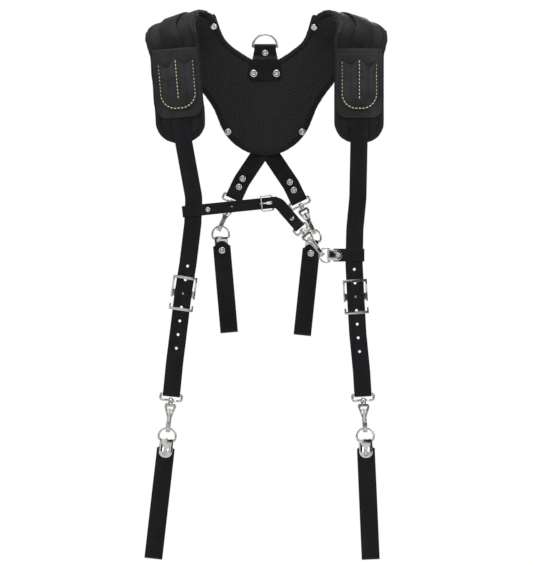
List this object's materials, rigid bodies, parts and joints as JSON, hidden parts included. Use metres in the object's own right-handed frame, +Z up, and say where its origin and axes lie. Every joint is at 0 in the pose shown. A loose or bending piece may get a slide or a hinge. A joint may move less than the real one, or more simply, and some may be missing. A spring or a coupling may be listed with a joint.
{
  "type": "tool belt suspenders",
  "caption": "Padded leather suspenders with a hang ring, two pouches, a chest strap and snap hooks on hanging loops that carry a tool belt.",
  "frame": {"origin": "the point between the shoulders, level with the middle of the two fold lines that the pad's arms bend over", "axes": "+X to the wearer's left, the front of the harness faces -Y, +Z up"},
  "size_m": [0.4557, 0.1402, 1.0295],
  "materials": {
    "black_leather": "satin oiled leather with a fine grain",
    "pouch_leather": "satin leather with cream contrast stitching",
    "edge_binding": "smooth satin binding",
    "mesh_lining": "matt open spacer mesh",
    "foam_padding": "matt foam, covered on all sides",
    "nickel_hardware": "polished nickel plate"
  },
  "bodies": {
    "harness": {"pad_lining": "mesh_lining", "pad_foam": "foam_padding", "pad_leather": "black_leather", "pad_binding": "edge_binding", "body_rivets": "nickel_hardware", "back_patch": "black_leather", "shoulder_keeper_left": "black_leather", "shoulder_keeper_right": "black_leather", "strap_left": "black_leather", "strap_right": "black_leather", "ring_tab": "black_leather", "pouch_sleeve_left": "pouch_leather", "pouch_sleeve_right": "pouch_leather", "pouch_pockets_left": "pouch_leather", "pouch_pockets_right": "pouch_leather", "frame_buckle_left": "nickel_hardware", "frame_buckle_right": "nickel_hardware", "chest_rivets": "nickel_hardware", "chest_short_strap": "black_leather", "chest_long_strap": "black_leather", "chest_tab": "black_leather", "chest_tab_clip": "nickel_hardware"},
    "top_ring": {"top_ring": "nickel_hardware"},
    "front_left_eye": {"front_left_eye": "nickel_hardware"},
    "front_left_hook": {"front_left_hook": "nickel_hardware"},
    "front_left_gate": {"front_left_gate": "nickel_hardware"},
    "front_left_ring": {"front_left_ring": "nickel_hardware"},
    "front_left_hanger": {"front_left_clip": "nickel_hardware", "front_left_hanger": "black_leather", "front_left_rivet": "nickel_hardware"},
    "front_right_eye": {"front_right_eye": "nickel_hardware"},
    "front_right_hook": {"front_right_hook": "nickel_hardware"},
    "front_right_gate": {"front_right_gate": "nickel_hardware"},
    "front_right_ring": {"front_right_ring": "nickel_hardware"},
    "front_right_hanger": {"front_right_clip": "nickel_hardware", "front_right_hanger": "black_leather", "front_right_rivet": "nickel_hardware"},
    "back_right_eye": {"back_right_eye": "nickel_hardware"},
    "back_right_hook": {"back_right_hook": "nickel_hardware"},
    "back_right_gate": {"back_right_gate": "nickel_hardware"},
    "back_right_ring": {"back_right_ring": "nickel_hardware"},
    "back_right_hanger": {"back_right_clip": "nickel_hardware", "back_right_hanger": "black_leather", "back_right_rivet": "nickel_hardware"},
    "back_left_eye": {"back_left_eye": "nickel_hardware"},
    "back_left_hook": {"back_left_hook": "nickel_hardware"},
    "back_left_gate": {"back_left_gate": "nickel_hardware"},
    "back_left_ring": {"back_left_ring": "nickel_hardware"},
    "back_left_hanger": {"back_left_clip": "nickel_hardware", "back_left_hanger": "black_leather", "back_left_rivet": "nickel_hardware"},
    "chest_buckle": {"chest_buckle": "nickel_hardware"},
    "chest_prong": {"chest_prong": "nickel_hardware"},
    "chest_eye": {"chest_eye": "nickel_hardware"},
    "chest_hook": {"chest_hook": "nickel_hardware"},
    "chest_gate": {"chest_gate": "nickel_hardware"},
    "chest_tab_ring": {"chest_tab_ring": "nickel_hardware"}
  },
  "joints": [
    {"name": "top_ring_hinge", "type": "hinge", "parent": "harness", "child": "top_ring", "pos_m": [0, 0.051, 0.001], "axis": [1, 0, 0], "range_deg": [-80, 80]},
    {"name": "front_left_eye_swing", "type": "hinge", "parent": "harness", "child": "front_left_eye", "pos_m": [0.1815, -0.05445, -0.651], "axis": [0.9981, 0, 0.0609], "range_deg": [-50, 50]},
    {"name": "front_left_hook_swivel", "type": "hinge", "parent": "front_left_eye", "child": "front_left_hook", "pos_m": [0.1815, -0.05445, -0.651], "axis": [-0.0609, 0, 0.9981], "continuous": true},
    {"name": "front_left_gate_spring", "type": "hinge", "parent": "front_left_hook", "child": "front_left_gate", "pos_m": [0.18333, -0.05965, -0.68094], "axis": [0.9981, 0, 0.0609], "range_deg": [0, 13], "stiffness_Nm_per_rad": 0.02, "springref_deg": -17.19},
    {"name": "front_left_ring_rock", "type": "hinge", "parent": "front_left_hook", "child": "front_left_ring", "pos_m": [0.18608, -0.05445, -0.73056], "axis": [0, 1, 0], "range_deg": [-30, 30]},
    {"name": "front_left_hanger_swing", "type": "hinge", "parent": "front_left_ring", "child": "front_left_hanger", "pos_m": [0.18635, -0.05445, -0.7369], "axis": [0.999, 0, 0.0436], "range_deg": [-60, 60]},
    {"name": "front_right_eye_swing", "type": "hinge", "parent": "harness", "child": "front_right_eye", "pos_m": [-0.1735, -0.05445, -0.651], "axis": [0.9952, 0, -0.0977], "range_deg": [-50, 50]},
    {"name": "front_right_hook_swivel", "type": "hinge", "parent": "front_right_eye", "child": "front_right_hook", "pos_m": [-0.1735, -0.05445, -0.651], "axis": [0.0977, 0, 0.9952], "continuous": true},
    {"name": "front_right_gate_spring", "type": "hinge", "parent": "front_right_hook", "child": "front_right_gate", "pos_m": [-0.17643, -0.05965, -0.68086], "axis": [0.9952, 0, -0.0977], "range_deg": [0, 13], "stiffness_Nm_per_rad": 0.02, "springref_deg": -17.19},
    {"name": "front_right_ring_rock", "type": "hinge", "parent": "front_right_hook", "child": "front_right_ring", "pos_m": [-0.18154, -0.05445, -0.73029], "axis": [0, 1, 0], "range_deg": [-30, 30]},
    {"name": "front_right_hanger_swing", "type": "hinge", "parent": "front_right_ring", "child": "front_right_hanger", "pos_m": [-0.18225, -0.05445, -0.7366], "axis": [0.9936, 0, -0.1132], "range_deg": [-60, 60]},
    {"name": "back_right_eye_swing", "type": "hinge", "parent": "harness", "child": "back_right_eye", "pos_m": [-0.058, 0.057, -0.282], "axis": [0.9066, 0, -0.422], "range_deg": [-10, 50]},
    {"name": "back_right_hook_swivel", "type": "hinge", "parent": "back_right_eye", "child": "back_right_hook", "pos_m": [-0.058, 0.057, -0.282], "axis": [0.422, 0, 0.9066], "range_deg": [-60, 60]},
    {"name": "back_right_gate_spring", "type": "hinge", "parent": "back_right_hook", "child": "back_right_gate", "pos_m": [-0.07066, 0.0622, -0.3092], "axis": [-0.9066, 0, 0.422], "range_deg": [0, 13], "stiffness_Nm_per_rad": 0.02, "springref_deg": -17.19},
    {"name": "back_right_ring_rock", "type": "hinge", "parent": "back_right_hook", "child": "back_right_ring", "pos_m": [-0.08405, 0.057, -0.3538], "axis": [0, 1, 0], "range_deg": [-30, 30]},
    {"name": "back_right_hanger_swing", "type": "hinge", "parent": "back_right_ring", "child": "back_right_hanger", "pos_m": [-0.08349, 0.057, -0.36013], "axis": [0.9962, 0, 0.0872], "range_deg": [-20, 60]},
    {"name": "back_left_eye_swing", "type": "hinge", "parent": "harness", "child": "back_left_eye", "pos_m": [0.063, 0.06, -0.288], "axis": [0.9006, 0, 0.4347], "range_deg": [-10, 50]},
    {"name": "back_left_hook_swivel", "type": "hinge", "parent": "back_left_eye", "child": "back_left_hook", "pos_m": [0.063, 0.06, -0.288], "axis": [-0.4347, 0, 0.9006], "range_deg": [-60, 60]},
    {"name": "back_left_gate_spring", "type": "hinge", "parent": "back_left_hook", "child": "back_left_gate", "pos_m": [0.07604, 0.0652, -0.31502], "axis": [-0.9006, 0, -0.4347], "range_deg": [0, 13], "stiffness_Nm_per_rad": 0.02, "springref_deg": -17.19},
    {"name": "back_left_ring_rock", "type": "hinge", "parent": "back_left_hook", "child": "back_left_ring", "pos_m": [0.08979, 0.06, -0.35935], "axis": [0, 1, 0], "range_deg": [-30, 30]},
    {"name": "back_left_hanger_swing", "type": "hinge", "parent": "back_left_ring", "child": "back_left_hanger", "pos_m": [0.08913, 0.06, -0.36567], "axis": [0.9945, 0, -0.1045], "range_deg": [-20, 60]},
    {"name": "chest_buckle_hinge", "type": "hinge", "parent": "harness", "child": "chest_buckle", "pos_m": [0.014, -0.057, -0.2965], "axis": [-0.1045, 0, 0.9945], "range_deg": [0, 3]},
    {"name": "chest_prong_hinge", "type": "hinge", "parent": "chest_buckle", "child": "chest_prong", "pos_m": [0.014, -0.057, -0.2965], "axis": [-0.1045, 0, 0.9945], "range_deg": [0, 5]},
    {"name": "chest_eye_swing", "type": "hinge", "parent": "harness", "child": "chest_eye", "pos_m": [0.062, -0.057, -0.34], "axis": [0.7605, 0, 0.6494], "range_deg": [-0.8, 0.8]},
    {"name": "chest_hook_swivel", "type": "hinge", "parent": "chest_eye", "child": "chest_hook", "pos_m": [0.062, -0.057, -0.34], "axis": [-0.6494, 0, 0.7605], "range_deg": [-5, 5]},
    {"name": "chest_gate_spring", "type": "hinge", "parent": "chest_hook", "child": "chest_gate", "pos_m": [0.08148, -0.0622, -0.36281], "axis": [0.7605, 0, 0.6494], "range_deg": [0, 13], "stiffness_Nm_per_rad": 0.02, "springref_deg": -17.19},
    {"name": "chest_tab_ring_swing", "type": "hinge", "parent": "harness", "child": "chest_tab_ring", "pos_m": [0.11881, -0.057, -0.39382], "axis": [0, 0, 1], "range_deg": [-1.5, 1.5]}
  ]
}
